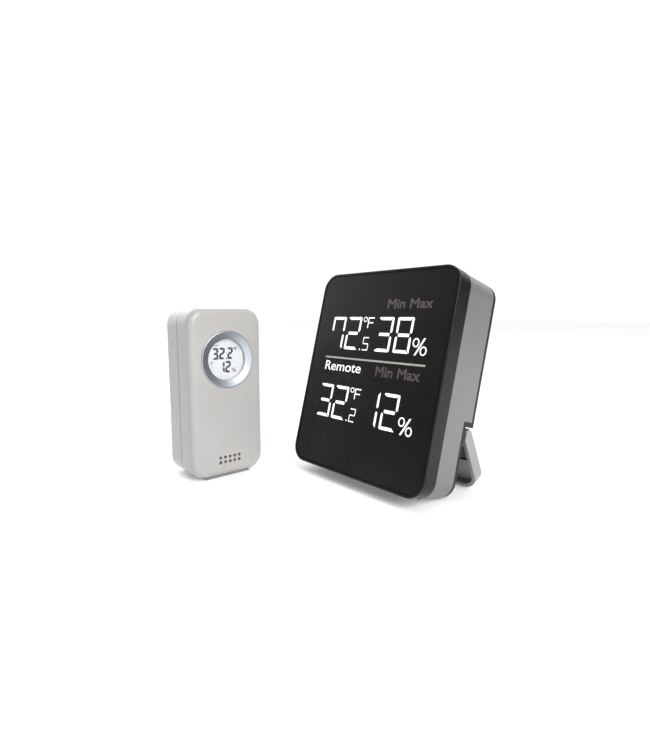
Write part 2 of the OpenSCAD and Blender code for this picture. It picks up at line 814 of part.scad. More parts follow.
module remote_lcd_holder() {
    color([0.9, 0.9, 0.88]) in_remote() difference() {
        block(remote_lcd_size + 3.4, remote_lcd_size + 3.4, remote_lcd_y, remote_board_y - 0.05, ring_z);
        block(remote_lcd_size + 0.3, remote_lcd_size + 0.3, 0, remote_lcd_y + remote_lcd_t + 0.05, ring_z);
        block(remote_lcd_size - 2, remote_lcd_size - 0.4, 0, remote_d, ring_z);
    }
}

module remote_contact_strip() {
    color([0.85, 0.45, 0.55]) in_remote() block(remote_lcd_size - 5, 2, remote_lcd_y + remote_lcd_t + 0.05,
        remote_board_y - 0.05, ring_z - remote_lcd_size / 2 + 1.6);
}

module remote_board() {
    color([0.05, 0.35, 0.16]) in_remote() difference() {
        block(remote_w - 8, remote_h - 10, remote_board_y, remote_board_y + 1.2, remote_h / 2);
        for (sx = [-1, 1], i = [0, 1])
            block(10, 10, 0, remote_d, remote_boss_zs[i] + (2 * i - 1) * (4.5 - remote_boss_r),
                sx * (remote_boss_x + 4.5 - remote_boss_r));
        for (z = remote_post_zs) rod(1.2, 0, remote_d, 0, z);
    }
}

remote_chip_y = remote_board_y + 1.22;

module remote_chips() {
    color([0.04, 0.04, 0.045]) in_remote() {
        rod(5, remote_chip_y, remote_chip_y + 1.3, -6, ring_z - 4, round_fn);
        block(7, 5, remote_chip_y, remote_chip_y + 1.2, 34, 8);
        for (i = [0 : 3]) block(2, 1.2, remote_chip_y, remote_chip_y + 0.9, 24 + 3 * i, -10);
    }
}

module remote_sensor() {
    color([0.92, 0.92, 0.9]) in_remote() difference() {
        block(7, 3.4, remote_board_y - 3.4, remote_board_y - 0.02, vent_z + 1, 0);
        for (i = [-1 : 1]) block(1.2, 2, remote_board_y - 4, remote_board_y - 2.4, vent_z + 1, 2 * i);
    }
}

module remote_antenna() {
    color([0.75, 0.45, 0.25]) in_remote() translate([remote_w / 2 - 6.5, remote_chip_y + 1, 30]) {
        cylinder(r = 0.5, h = 45, $fn = 16);
        rotate([90, 0, 0]) cylinder(r = 0.5, h = 0.95, $fn = 16);
    }
}

module remote_board_screws() {
    color([0.72, 0.72, 0.74]) in_remote() for (z = remote_post_zs)
        screw(0, z, remote_board_y + 1.25, 4, 0.85, 2, 1.1);
}

module remote_contacts() {
    color([0.8, 0.8, 0.78]) in_remote() {
        for (sx = [-1, 1]) block(11, contact_t, remote_cell_y - 5, remote_cell_y + 5,
            remote_bay_z + sx * (remote_bay_h / 2 - contact_t / 2 - 0.05), sx * (cell_r + 0.35));
        block(2 * cell_r + 10, contact_t, remote_cell_y - 5, remote_cell_y - 4,
            remote_bay_z - remote_bay_h / 2 + contact_t / 2 + 0.5);
    }
}

module remote_springs() {
    color([0.82, 0.82, 0.8]) in_remote() for (sx = [-1, 1])
        translate([sx * (cell_r + 0.35), remote_cell_y, remote_bay_z - sx * (remote_bay_h / 2 - 0.1)])
            rotate([sx > 0 ? 0 : 180, 0, 0]) coil(4.2, 2.2, spring_len, 4, 0.4);
}

module remote_cell(sx) {
    color([0.85, 0.6, 0.2]) in_remote()
        translate([sx * (cell_r + 0.35), remote_cell_y,
            remote_bay_z + sx * (remote_bay_h / 2 - contact_t - 0.2 - (cell_len + cell_nub) / 2)])
            rotate([0, -sx * 90, 0]) cell();
}

module remote_left_cell() {
    remote_cell(-1);
}

module remote_right_cell() {
    remote_cell(1);
}

module remote_door() {
    color([0.72, 0.7, 0.69]) in_remote() door(remote_door_w, remote_door_h, remote_door_y, remote_bay_z);
}

module remote_button() {
    color([0.6, 0.6, 0.6]) in_remote() button_cap(remote_button_x, remote_button_z, remote_button_r,
        remote_d - 5, remote_d - remote_wall, remote_d + 0.6);
}

module remote_button_switch() {
    y = remote_d - 5 - button_travel - 0.35 - 0.25 - switch_t;
    color([0.2, 0.2, 0.22]) in_remote() {
        switch_body(remote_button_x, remote_button_z, y);
        block(4, 4, remote_chip_y, y + 0.1, remote_button_z, remote_button_x);
    }
}

module remote_case_screws() {
    color([0.72, 0.72, 0.74]) in_remote() for (sx = [-1, 1], z = remote_boss_zs)
        screw(sx * remote_boss_x, z, remote_boss_y + head_seat + 0.05, 9, screw_r, head_r, head_t);
}

module remote_foot_plate() {
    color([0.42, 0.42, 0.43]) in_remote() difference() {
        translate([-foot_w / 2, foot_y, -foot_t]) cube([foot_w, foot_l, foot_t - 0.02]);
        for (y = foot_screw_ys)
            translate([0, y, -foot_t - cut]) cylinder(r = 2.2, h = foot_t + 2 * cut, $fn = small_fn);
    }
}

foot_screw_ys = [foot_y + 4.5, foot_y + foot_l - 4.5];

module remote_foot_screws() {
    color([0.72, 0.72, 0.74]) in_remote() for (y = foot_screw_ys)
        translate([0, y, -foot_t + 0.2]) cylinder(r = 2, h = foot_t - 0.22, $fn = small_fn);
}

front_panel();
front_housing();
side_frame();
back_cover();
lcd_glass();
backlight();
lcd_holder();
contact_strips();
main_board();
board_chips();
radio_module();
antenna_wire();
room_sensor();
board_screws();
battery_contacts();
battery_springs();
upper_cell();
lower_cell();
battery_door();
button_board();
button_switches();
max_min_button();
clear_button();
unit_button();
case_screws();
rubber_feet();
stand_frame();
stand_panel();
stand_pins();
remote_front_shell();
remote_rear_shell();
remote_ring();
remote_lens();
remote_lcd();
remote_lcd_holder();
remote_contact_strip();
remote_board();
remote_chips();
remote_sensor();
remote_antenna();
remote_board_screws();
remote_contacts();
remote_springs();
remote_left_cell();
remote_right_cell();
remote_door();
remote_button();
remote_button_switch();
remote_case_screws();
remote_foot_plate();
remote_foot_screws();
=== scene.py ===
"""Looks of a two-part room thermometer: a leaning desk display and its remote sensor."""

import json
import math

import bmesh
import bpy
import numpy as np
from mathutils import Matrix, Vector
from mathutils.geometry import tessellate_polygon


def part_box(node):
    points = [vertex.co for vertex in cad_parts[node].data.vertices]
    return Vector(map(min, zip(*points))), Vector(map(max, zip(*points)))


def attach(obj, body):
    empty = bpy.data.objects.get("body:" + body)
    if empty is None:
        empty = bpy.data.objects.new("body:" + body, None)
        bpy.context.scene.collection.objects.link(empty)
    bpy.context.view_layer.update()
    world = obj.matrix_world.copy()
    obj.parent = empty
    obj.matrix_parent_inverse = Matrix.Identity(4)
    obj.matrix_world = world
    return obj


MM = 0.001

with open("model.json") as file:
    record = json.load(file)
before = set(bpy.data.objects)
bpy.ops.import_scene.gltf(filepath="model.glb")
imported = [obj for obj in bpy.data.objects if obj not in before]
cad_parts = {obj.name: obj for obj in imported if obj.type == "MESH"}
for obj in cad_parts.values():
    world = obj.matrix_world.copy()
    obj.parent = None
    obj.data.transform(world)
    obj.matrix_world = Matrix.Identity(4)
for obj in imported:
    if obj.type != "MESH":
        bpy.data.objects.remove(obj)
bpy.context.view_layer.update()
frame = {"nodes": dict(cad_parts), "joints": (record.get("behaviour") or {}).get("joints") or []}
nodes = frame["nodes"]
joints = {j["name"]: j for j in frame["joints"]}


# ---- the two local frames, in millimetres ----

def local_frame(across, back, up, origin_mm):
    """Matrix from a unit's own millimetres (across, depth, height) to the frame's metres."""
    m = Matrix.Identity(4)
    for row in range(3):
        m[row][0] = across[row] * MM
        m[row][1] = back[row] * MM
        m[row][2] = up[row] * MM
        m[row][3] = origin_mm[row] * MM
    return m


# Places of the CAD model that the frame doesn't give, in each unit's own millimetres.
HINGE_DEPTH = 31.95
HINGE_HEIGHT = 35.7
PANEL_FRONT = 0.3
SCREEN_FRONT = 2.7
RING_HEIGHT = 68.5
PARTING_GAP = 0.8

press = Vector(joints["max_min_button_press"]["axis"])
display_back = -press
display_up = Vector((0, -display_back.z, display_back.y))
hinge = Vector(joints["stand_hinge"]["pos_m"]) / MM
display_origin = hinge - display_back * HINGE_DEPTH - display_up * HINGE_HEIGHT
DISPLAY = local_frame(Vector((1, 0, 0)), display_back, display_up, display_origin)

shell_lo, shell_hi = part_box("remote_front_shell")
remote_origin = Vector((shell_hi.x, (shell_lo.y + shell_hi.y) / 2, shell_lo.z)) / MM
REMOTE = local_frame(Vector((0, 1, 0)), Vector((-1, 0, 0)), Vector((0, 0, 1)), remote_origin)
SCREEN = REMOTE @ Matrix.Translation((0, 0, RING_HEIGHT))


# ---- node materials ----

class Paint:
    """Small helper that builds one node material around a Principled shader."""

    def __init__(self, name, color, rough, metallic=0.0, **sockets):
        self.mat = bpy.data.materials.new(name)
        self.mat.use_nodes = True
        self.tree = self.mat.node_tree
        self.bsdf = self.tree.nodes["Principled BSDF"]
        self.color = color
        self.bsdf.inputs["Base Color"].default_value = (*color, 1)
        self.bsdf.inputs["Roughness"].default_value = rough
        self.bsdf.inputs["Metallic"].default_value = metallic
        for key, value in sockets.items():
            self.bsdf.inputs[key.replace("_", " ")].default_value = value
        self.coords = self.node("ShaderNodeTexCoord").outputs["Object"]

    def node(self, kind, **props):
        n = self.tree.nodes.new(kind)
        for key, value in props.items():
            setattr(n, key, value)
        return n

    def link(self, a, b):
        self.tree.links.new(a, b)

    def noise(self, size_mm, detail=3.0, stretch=(1, 1, 1)):
        """Noise whose features are about size_mm across."""
        mapping = self.node("ShaderNodeMapping")
        mapping.inputs["Scale"].default_value = stretch
        self.link(self.coords, mapping.inputs["Vector"])
        tex = self.node("ShaderNodeTexNoise")
        tex.inputs["Scale"].default_value = 1.0 / (size_mm * MM)
        tex.inputs["Detail"].default_value = detail
        self.link(mapping.outputs["Vector"], tex.inputs["Vector"])
        return tex.outputs["Fac"]

    def span(self, value, low, high, from_low=0.3, from_high=0.7):
        """Runs from low to high while value rises from from_low to from_high."""
        n = self.node("ShaderNodeMapRange")
        n.inputs["From Min"].default_value = from_low
        n.inputs["From Max"].default_value = from_high
        n.inputs["To Min"].default_value = low
        n.inputs["To Max"].default_value = high
        self.link(value, n.inputs["Value"])
        return n.outputs["Result"]

    def vary_color(self, value, other, from_low=0.35, from_high=0.65):
        """Base colour runs from the paint's own colour to other as value rises."""
        mix = self.node("ShaderNodeMix", data_type="RGBA")
        mix.inputs["A"].default_value = (*self.color, 1)
        mix.inputs["B"].default_value = (*other, 1)
        self.link(self.span(value, 0, 1, from_low, from_high), mix.inputs["Factor"])
        self.link(mix.outputs["Result"], self.bsdf.inputs["Base Color"])
        return mix

    def vary_rough(self, value, low, high):
        """Roughness runs from low to high as value rises."""
        self.link(self.span(value, low, high), self.bsdf.inputs["Roughness"])

    def add_bump(self, value, depth_mm):
        """Relief of depth_mm that follows value."""
        bump = self.node("ShaderNodeBump")
        bump.inputs["Distance"].default_value = depth_mm * MM
        bump.inputs["Strength"].default_value = 1.0
        self.link(value, bump.inputs["Height"])
        self.link(bump.outputs["Normal"], self.bsdf.inputs["Normal"])


def tone(color, k):
    """The colour made k times as light, never past white."""
    return tuple(min(1.0, c * k) for c in color)


def moulded(name, color, rough, grain_mm=0.35, depth_mm=0.01, **sockets):
    """Moulded plastic: fine spark-eroded grain, slow sheen drift and faint mottling."""
    p = Paint(name, color, rough, **sockets)
    p.vary_color(p.noise(14, 2), tone(color, 1.08))
    p.vary_rough(p.noise(5, 3), rough * 0.88, rough * 1.12)
    p.add_bump(p.noise(grain_mm, 2), depth_mm)
    return p.mat


def glossy_panel():
    """Smoked front panel: near black and smooth, with a slow waviness."""
    p = Paint("smoked_panel", (0.0072, 0.0072, 0.0074), 0.28, Specular_IOR_Level=0.24)
    p.vary_color(p.noise(30, 2), (0.0084, 0.0083, 0.0083))
    p.vary_rough(p.noise(9, 2), 0.27, 0.29)
    p.add_bump(p.noise(24, 1), 0.004)
    return p.mat


def silver_lacquer(name, k):
    """Silver lacquer with fine flake; k scales how light it is, and a k above 1 is painted light, a
    lighter copy standing in for more light than the lamps bring.
    """
    color = tone((0.155, 0.153, 0.155), k)
    p = Paint(name, color, 0.36, metallic=0.3)
    p.vary_color(p.noise(0.18, 1), tone(color, 1.14))
    p.vary_rough(p.noise(3, 3), 0.31, 0.41)
    p.add_bump(p.noise(0.25, 2), 0.004)
    return p.mat


# Reach of the painted shade along the parting line, in parts of the gap: full shade within the first,
# none past the second.
SEAM_SHADE_FULL_REACH = 0.78
SEAM_SHADE_END_REACH = 1.06


def warm_grey(name, color):
    """Semi-gloss warm grey, with painted shade darkening it along the parting line of the two shells."""
    p = Paint(name, color, 0.3, Specular_IOR_Level=0.35, Coat_Weight=0.2, Coat_Roughness=0.1)
    mottled = p.vary_color(p.noise(22, 3), tone(color, 1.035))
    # Painted shade: the colour goes almost black within reach of the parting line, standing in for the
    # shadow inside the groove.
    split = p.node("ShaderNodeSeparateXYZ")
    p.link(p.coords, split.inputs["Vector"])
    offset = p.node("ShaderNodeMath", operation="SUBTRACT")
    offset.inputs[1].default_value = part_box("remote_front_shell")[0].x - PARTING_GAP / 2 * MM
    p.link(split.outputs["X"], offset.inputs[0])
    far = p.node("ShaderNodeMath", operation="ABSOLUTE")
    p.link(offset.outputs["Value"], far.inputs[0])
    inner = PARTING_GAP * SEAM_SHADE_FULL_REACH * MM
    outer = PARTING_GAP * SEAM_SHADE_END_REACH * MM
    edge = p.span(far.outputs["Value"], 0, 1, inner, outer)
    shade = p.node("ShaderNodeMix", data_type="RGBA")
    shade.inputs["A"].default_value = (*tone(color, 0.06), 1)
    p.link(edge, shade.inputs["Factor"])
    p.link(mottled.outputs["Result"], shade.inputs["B"])
    p.link(shade.outputs["Result"], p.bsdf.inputs["Base Color"])
    p.vary_rough(p.noise(6, 3), 0.27, 0.35)
    p.add_bump(p.noise(0.5, 2), 0.003)
    return p.mat


def brushed_ring():
    """Turned aluminium: grooves run round the remote's ring."""
    p = Paint("bright_metal", (0.43, 0.46, 0.50), 0.36, metallic=1.0)
    shift = p.node("ShaderNodeVectorMath", operation="SUBTRACT")
    shift.inputs[1].default_value = SCREEN.translation
    p.link(p.coords, shift.inputs[0])
    flat = p.node("ShaderNodeVectorMath", operation="MULTIPLY")
    flat.inputs[1].default_value = (0, 1, 1)
    p.link(shift.outputs["Vector"], flat.inputs[0])
    length = p.node("ShaderNodeVectorMath", operation="LENGTH")
    p.link(flat.outputs["Vector"], length.inputs[0])
    tex = p.node("ShaderNodeTexNoise", noise_dimensions="1D")
    tex.inputs["Scale"].default_value = 1 / (0.22 * MM)
    tex.inputs["Detail"].default_value = 2.0
    p.link(length.outputs["Value"], tex.inputs["W"])
    p.add_bump(tex.outputs["Fac"], 0.01)
    p.vary_rough(tex.outputs["Fac"], 0.32, 0.44)
    p.vary_color(p.noise(2.5, 2), (0.46, 0.49, 0.53))
    return p.mat


def screen_light():
    """Pale liquid crystal background of the remote, with the faint grain of its film."""
    p = Paint("lcd_light", (0.62, 0.63, 0.64), 0.45)
    p.vary_color(p.noise(9, 2), (0.57, 0.585, 0.60))
    p.vary_rough(p.noise(1.5, 2), 0.4, 0.5)
    p.add_bump(p.noise(0.12, 1), 0.002)
    return p.mat


def clear_lens():
    """Clear cover of the remote's screen, almost all of it see-through."""
    p = Paint("clear_lens", (0.80, 0.84, 0.88), 0.05, Alpha=0.03)
    p.vary_color(p.noise(12, 2), (0.76, 0.81, 0.86))
    p.vary_rough(p.noise(5, 3), 0.04, 0.08)
    return p.mat


def lit_segment():
    """White segments of the backlit screen, glowing a little unevenly."""
    p = Paint("lit_segment", (0.92, 0.93, 0.93), 0.3)
    mix = p.vary_color(p.noise(6, 2), (0.97, 0.97, 0.97))
    p.link(mix.outputs["Result"], p.bsdf.inputs["Emission Color"])
    p.bsdf.inputs["Emission Strength"].default_value = 0.5
    p.vary_rough(p.noise(3, 2), 0.22, 0.34)
    return p.mat


def printed(name, color):
    """Screen-printed ink, slightly uneven."""
    p = Paint(name, color, 0.4)
    p.vary_color(p.noise(1.2, 3), tone(color, 0.88))
    p.vary_rough(p.noise(0.8, 2), 0.34, 0.46)
    p.add_bump(p.noise(0.15, 2), 0.003)
    return p.mat


def metal(name, color, rough, grain_mm, stretch):
    """Drawn or rolled metal; stretch sets which way its grain runs."""
    p = Paint(name, color, rough, metallic=1.0)
    grain = p.noise(grain_mm, 3, stretch)
    p.vary_color(p.noise(4, 3), tone(color, 0.9))
    p.vary_rough(grain, rough * 0.8, rough * 1.25)
    p.add_bump(grain, 0.004)
    return p.mat


def circuit_board():
    """Green solder mask over faint copper tracks."""
    p = Paint("board_green", (0.012, 0.10, 0.04), 0.3, Coat_Weight=0.4, Coat_Roughness=0.15)
    brick = p.node("ShaderNodeTexBrick")
    brick.inputs["Scale"].default_value = 1 / (7 * MM)
    brick.inputs["Mortar Size"].default_value = 0.06
    brick.inputs["Color1"].default_value = (0, 0, 0, 1)
    brick.inputs["Color2"].default_value = (0, 0, 0, 1)
    brick.inputs["Mortar"].default_value = (1, 1, 1, 1)
    turned = p.node("ShaderNodeMapping")
    turned.inputs["Rotation"].default_value = (math.radians(90), 0, 0)
    p.link(p.coords, turned.inputs["Vector"])
    p.link(turned.outputs["Vector"], brick.inputs["Vector"])
    p.vary_color(brick.outputs["Color"], (0.03, 0.16, 0.06), 0.2, 0.8)
    p.vary_rough(p.noise(2, 2), 0.25, 0.36)
    p.add_bump(brick.outputs["Color"], 0.02)
    return p.mat


JACKET_LENGTH = 49
JACKET_DARK_SHARE = 0.3
JACKET_BLEND = 0.2


def cell_wrap(axis_index, centre_mm):
    """Printed cell jacket: a dark band at one end of a copper-coloured wrap."""
    name = "cell_wrap_" + "xyz"[axis_index] + str(int(abs(centre_mm)))
    p = Paint(name, (0.55, 0.27, 0.06), 0.3, metallic=0.6)
    split = p.node("ShaderNodeSeparateXYZ")
    p.link(p.coords, split.inputs["Vector"])
    edge = (centre_mm + JACKET_LENGTH * (0.5 - JACKET_DARK_SHARE)) * MM
    p.vary_color(split.outputs[axis_index], (0.012, 0.012, 0.013), edge, edge + JACKET_BLEND * MM)
    p.vary_rough(p.noise(3, 3), 0.24, 0.36)
    p.add_bump(p.noise(0.6, 2), 0.004)
    return p.mat


BLACK = (0.0055, 0.0055, 0.0057)
MATERIALS = {
    "smoked_panel": glossy_panel(),
    "black_plastic": moulded("black_plastic", BLACK, 0.3, 0.5, 0.006, Specular_IOR_Level=0.2),
    "silver_lacquer": silver_lacquer("silver_lacquer", 1.0),
    "lcd_dark": moulded("lcd_dark", (0.02, 0.024, 0.024), 0.12, 1.0, 0.002),
    "light_guide": moulded("light_guide", (0.80, 0.84, 0.86), 0.25, 0.8, 0.006),
    "white_plastic": moulded("white_plastic", (0.78, 0.78, 0.75), 0.42),
    "elastomer": moulded("elastomer", (0.62, 0.24, 0.30), 0.6, 0.3, 0.01),
    "board_green": circuit_board(),
    "chip_black": moulded("chip_black", (0.018, 0.018, 0.02), 0.45, 0.12, 0.006),
    "board_blue": moulded("board_blue", (0.02, 0.07, 0.19), 0.3, 1.2, 0.008),
    "copper_wire": metal("copper_wire", (0.62, 0.30, 0.13), 0.25, 0.3, (1, 1, 1)),
    "screw_steel": metal("screw_steel", (0.55, 0.55, 0.56), 0.28, 0.25, (1, 1, 6)),
    "spring_steel": metal("spring_steel", (0.60, 0.60, 0.58), 0.22, 0.3, (1, 1, 1)),
    "button_grey": moulded("button_grey", (0.035, 0.035, 0.037), 0.45, 0.3, 0.012),
    "foot_rubber": moulded("foot_rubber", (0.012, 0.012, 0.012), 0.75, 0.25, 0.02),
    "warm_grey_plastic": warm_grey("warm_grey_plastic", (0.368, 0.358, 0.350)),
    "bright_metal": brushed_ring(),
    "clear_lens": clear_lens(),
    "lcd_light": screen_light(),
    "mid_grey_plastic": moulded("mid_grey_plastic", (0.33, 0.33, 0.325), 0.4),
    "dark_steel": metal("dark_steel", (0.30, 0.30, 0.31), 0.42, 0.3, (1, 12, 1)),
}
LIT = lit_segment()
INK_DARK = printed("ink_dark", (0.005, 0.005, 0.006))
INK_GREY = printed("ink_grey", (0.30, 0.31, 0.32))
INK_FAINT = printed("ink_faint", (0.085, 0.068, 0.066))
INK_LINE = printed("ink_line", (0.46, 0.43, 0.39))
# Painted light: the stand takes the frame's silver lacquer made 1.6 times as light, standing in for
# light the lamps don't bring to it.
STAND_SILVER_PAINTED_LIGHT = silver_lacquer("stand_silver_painted_light", 1.6)
STAND_INSERT = moulded("stand_insert", (0.02, 0.019, 0.019), 0.32, 0.5, 0.006)

# ---- CAD nodes keep their shape and take their finish, with slightly eased edges ----

# Width of the eased edges in millimetres.
EASED = {
    "front_housing": 0.15, "side_frame": 0.22, "back_cover": 0.15, "battery_door": 0.25,
    "max_min_button": 0.35, "clear_button": 0.35, "unit_button": 0.35, "rubber_feet": 0.4,
    "stand_frame": 0.28, "stand_panel": 0.12, "front_panel": 0.2, "remote_front_shell": 0.1,
    "remote_rear_shell": 0.12, "remote_ring": 0.08, "remote_door": 0.25, "remote_button": 0.35,
    "remote_foot_plate": 0.12, "lcd_holder": 0.1, "room_sensor": 0.2, "remote_sensor": 0.2,
}
WELD_REACH = 0.002
FLAT_ANGLE = 0.5
EDGE_ANGLE = 40


def ease(obj, width_mm):
    """Joins the facets of each flat face, rounds its edges a little and evens the shading."""
    weld = obj.modifiers.new("weld", "WELD")
    weld.merge_threshold = WELD_REACH * MM
    flat = obj.modifiers.new("flat", "DECIMATE")
    flat.decimate_type = "DISSOLVE"
    flat.angle_limit = math.radians(FLAT_ANGLE)
    bevel = obj.modifiers.new("bevel", "BEVEL")
    bevel.width = width_mm * MM
    bevel.segments = 3
    bevel.limit_method = "ANGLE"
    bevel.angle_limit = math.radians(EDGE_ANGLE)
    bevel.use_clamp_overlap = True
    bevel.harden_normals = True
    even = obj.modifiers.new("even", "WEIGHTED_NORMAL")
    even.keep_sharp = True
    even.weight = 80


# The axis of the frame that each cell lies along.
CELL_AXES = {"upper_cell": 0, "lower_cell": 0, "remote_left_cell": 2, "remote_right_cell": 2}
# The stand's insert takes its own dark plastic; its frame takes the lighter silver copy, which is
# painted light.
STAND_PAINTS = {"stand_panel": STAND_INSERT, "stand_frame": STAND_SILVER_PAINTED_LIGHT}

# Each CAD node comes with a plain material that has its slot's name.
for name, obj in nodes.items():
    if name in CELL_AXES:
        lo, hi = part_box(name)
        axis = CELL_AXES[name]
        mat = cell_wrap(axis, (lo[axis] + hi[axis]) / 2 / MM)
    elif name in STAND_PAINTS:
        mat = STAND_PAINTS[name]
    else:
        mat = MATERIALS[obj.data.materials[0].name]
    obj.data.materials.clear()
    obj.data.materials.append(mat)
    if name in EASED:
        ease(obj, EASED[name])


# ---- thin printed and lit shapes ----

INK_THICK = 0.02
LIT_DEPTH = PANEL_FRONT - INK_THICK
SCREEN_INK = SCREEN_FRONT - INK_THICK


def finish_piece(name, bm, mat, body):
    """Makes the mesh a named piece of a body, with one material."""
    bmesh.ops.recalc_face_normals(bm, faces=bm.faces)
    mesh = bpy.data.meshes.new(name)
    bm.to_mesh(mesh)
    bm.free()
    mesh.materials.append(mat)
    obj = bpy.data.objects.new(name, mesh)
    bpy.context.scene.collection.objects.link(obj)
    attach(obj, body)


def make_piece(name, polygons, place, depth, mat, body):
    """Flat shapes of ink thickness, given as lists of (across, height) points."""
    bm = bmesh.new()
    for points in polygons:
        front = [bm.verts.new(place @ Vector((x, depth, z))) for x, z in points]
        back = [bm.verts.new(place @ Vector((x, depth + INK_THICK, z))) for x, z in points]
        bm.faces.new(front)
        bm.faces.new(back[::-1])
        for i in range(len(points)):
            j = (i + 1) % len(points)
            bm.faces.new([front[j], front[i], back[i], back[j]])
    finish_piece(name, bm, mat, body)


# The bars that each digit lights: a at the top, then clockwise to f, and g in the middle.
DIGITS = {
    "1": "bc", "2": "abged", "3": "abgcd", "5": "afgcd", "7": "fabc", "8": "abcdefg",
}


def segment_shapes(char, x0, z0, w, h, tv, th, gap):
    """Polygons of one digit's bars: tv and th are their widths, upright and level."""
    m = h / 2
    nose = tv * 0.55
    upper = {
        "a": [(0.5 * tv, h), (w - 0.28 * tv, h), (w - tv - gap, h - th), (tv + gap, h - th),
              (0.12 * tv, h - 0.45 * th)],
        "b": [(w - 0.1 * tv, h - 0.1 * th), (w, h - 0.3 * th), (w, m + 0.5 * th + gap),
              (w - nose, m + gap), (w - tv, m + 0.5 * th + gap), (w - tv, h - th)],
    }
    lower = {
        "d": [(x, h - z) for x, z in upper["a"]],
        "c": [(x, h - z) for x, z in upper["b"]],
    }
    left = {
        "f": [(w - x, z) for x, z in upper["b"]],
        "e": [(w - x, z) for x, z in lower["c"]],
    }
    middle = {
        "g": [(nose + gap, m), (tv + 0.6 * gap, m + th / 2), (w - tv - 0.6 * gap, m + th / 2),
              (w - nose - gap, m), (w - tv - 0.6 * gap, m - th / 2), (tv + 0.6 * gap, m - th / 2)],
    }
    bars = {**upper, **lower, **left, **middle}
    return [[(x0 + x, z0 + z) for x, z in bars[s]] for s in DIGITS[char]]


def box_shape(x0, z0, x1, z1):
    """An upright rectangle between two corners."""
    return [(x0, z0), (x1, z0), (x1, z1), (x0, z1)]


def ring_shapes(x, z, rx, rz, stroke, parts=20):
    """A closed oval ring as a run of small quads."""
    shapes = []
    for i in range(parts):
        a = 2 * math.pi * i / parts
        b = 2 * math.pi * (i + 1) / parts
        shapes.append([
            (x + rx * math.cos(a), z + rz * math.sin(a)),
            (x + rx * math.cos(b), z + rz * math.sin(b)),
            (x + (rx - stroke) * math.cos(b), z + (rz - stroke) * math.sin(b)),
            (x + (rx - stroke) * math.cos(a), z + (rz - stroke) * math.sin(a)),
        ])
    return shapes


def letter_f(x0, z0, x1, z1, stroke):
    """Capital F as one outline."""
    mid = z0 + (z1 - z0) * 0.5
    return [
        (x0, z0), (x0 + stroke, z0), (x0 + stroke, mid - stroke / 2),
        (x1 - stroke * 0.6, mid - stroke / 2), (x1 - stroke * 0.6, mid + stroke / 2),
        (x0 + stroke, mid + stroke / 2), (x0 + stroke, z1 - stroke), (x1, z1 - stroke),
        (x1, z1), (x0, z1),
    ]


def signed_distance(points, ends_a, ends_b):
    """Signed distance of each point from a set of closed outlines, negative inside."""
    ax, az = ends_a[:, 0], ends_a[:, 1]
    bx, bz = ends_b[:, 0], ends_b[:, 1]
    px, pz = points[:, 0:1], points[:, 1:2]
    dx, dz = bx - ax, bz - az
    t = np.clip(((px - ax) * dx + (pz - az) * dz) / (dx * dx + dz * dz + 1e-12), 0, 1)
    near = np.sqrt(((px - ax - t * dx) ** 2 + (pz - az - t * dz) ** 2).min(1))
    crosses = (az > pz) != (bz > pz)
    reach = ax + (pz - az) * dx / np.where(dz == 0, 1, dz)
    odd = (crosses & (px < reach)).sum(1) % 2 == 1
    return np.where(odd, -near, near)


def contour_loops(field, xs, zs):
    """Closed loops where the field changes sign on a grid (marching squares)."""
    nexts = {}
    rows, cols = field.shape

    def cut_point(key):
        i, j, along = key
        a = field[i, j]
        b = field[i, j + 1] if along else field[i + 1, j]
        t = a / (a - b)
        if along:
            return xs[j] + t * (xs[j + 1] - xs[j]), zs[i]
        return xs[j], zs[i] + t * (zs[i + 1] - zs[i])

    for i in range(rows - 1):
        for j in range(cols - 1):
            corners = [(i, j), (i, j + 1), (i + 1, j + 1), (i + 1, j)]
            sides = [(i, j, True), (i, j + 1, False), (i + 1, j, True), (i, j, False)]
            ins = [field[c] < 0 for c in corners]
            if all(ins) or not any(ins):
                continue
            starts = [sides[k] for k in range(4) if ins[k] and not ins[(k + 1) % 4]]
            ends = [sides[k] for k in range(4) if not ins[k] and ins[(k + 1) % 4]]
            for a, b in zip(starts, ends):
                nexts[a] = b
    loops = []
    while nexts:
        first, step = nexts.popitem()
        loop = [first]
        while step != first:
            loop.append(step)
            step = nexts.pop(step)
        loops.append([cut_point(k) for k in loop])
    return loops


GLYPH_GRID = 0.08
GLYPH_MARGIN = 0.2
OUTLINE_TOLERANCE = 0.012
OUTLINE_STEP = 0.8


def thin_out(loop):
    """Drops points that lie on the line between their neighbours."""
    kept = [loop[0]]
    for k in range(1, len(loop)):
        ax, az = kept[-1]
        bx, bz = loop[(k + 1) % len(loop)]
        px, pz = loop[k]
        length = math.hypot(bx - ax, bz - az)
        off = abs((bx - ax) * (pz - az) - (bz - az) * (px - ax)) / max(length, 1e-9)
        if off > OUTLINE_TOLERANCE or length > OUTLINE_STEP:
            kept.append(loop[k])
    return kept


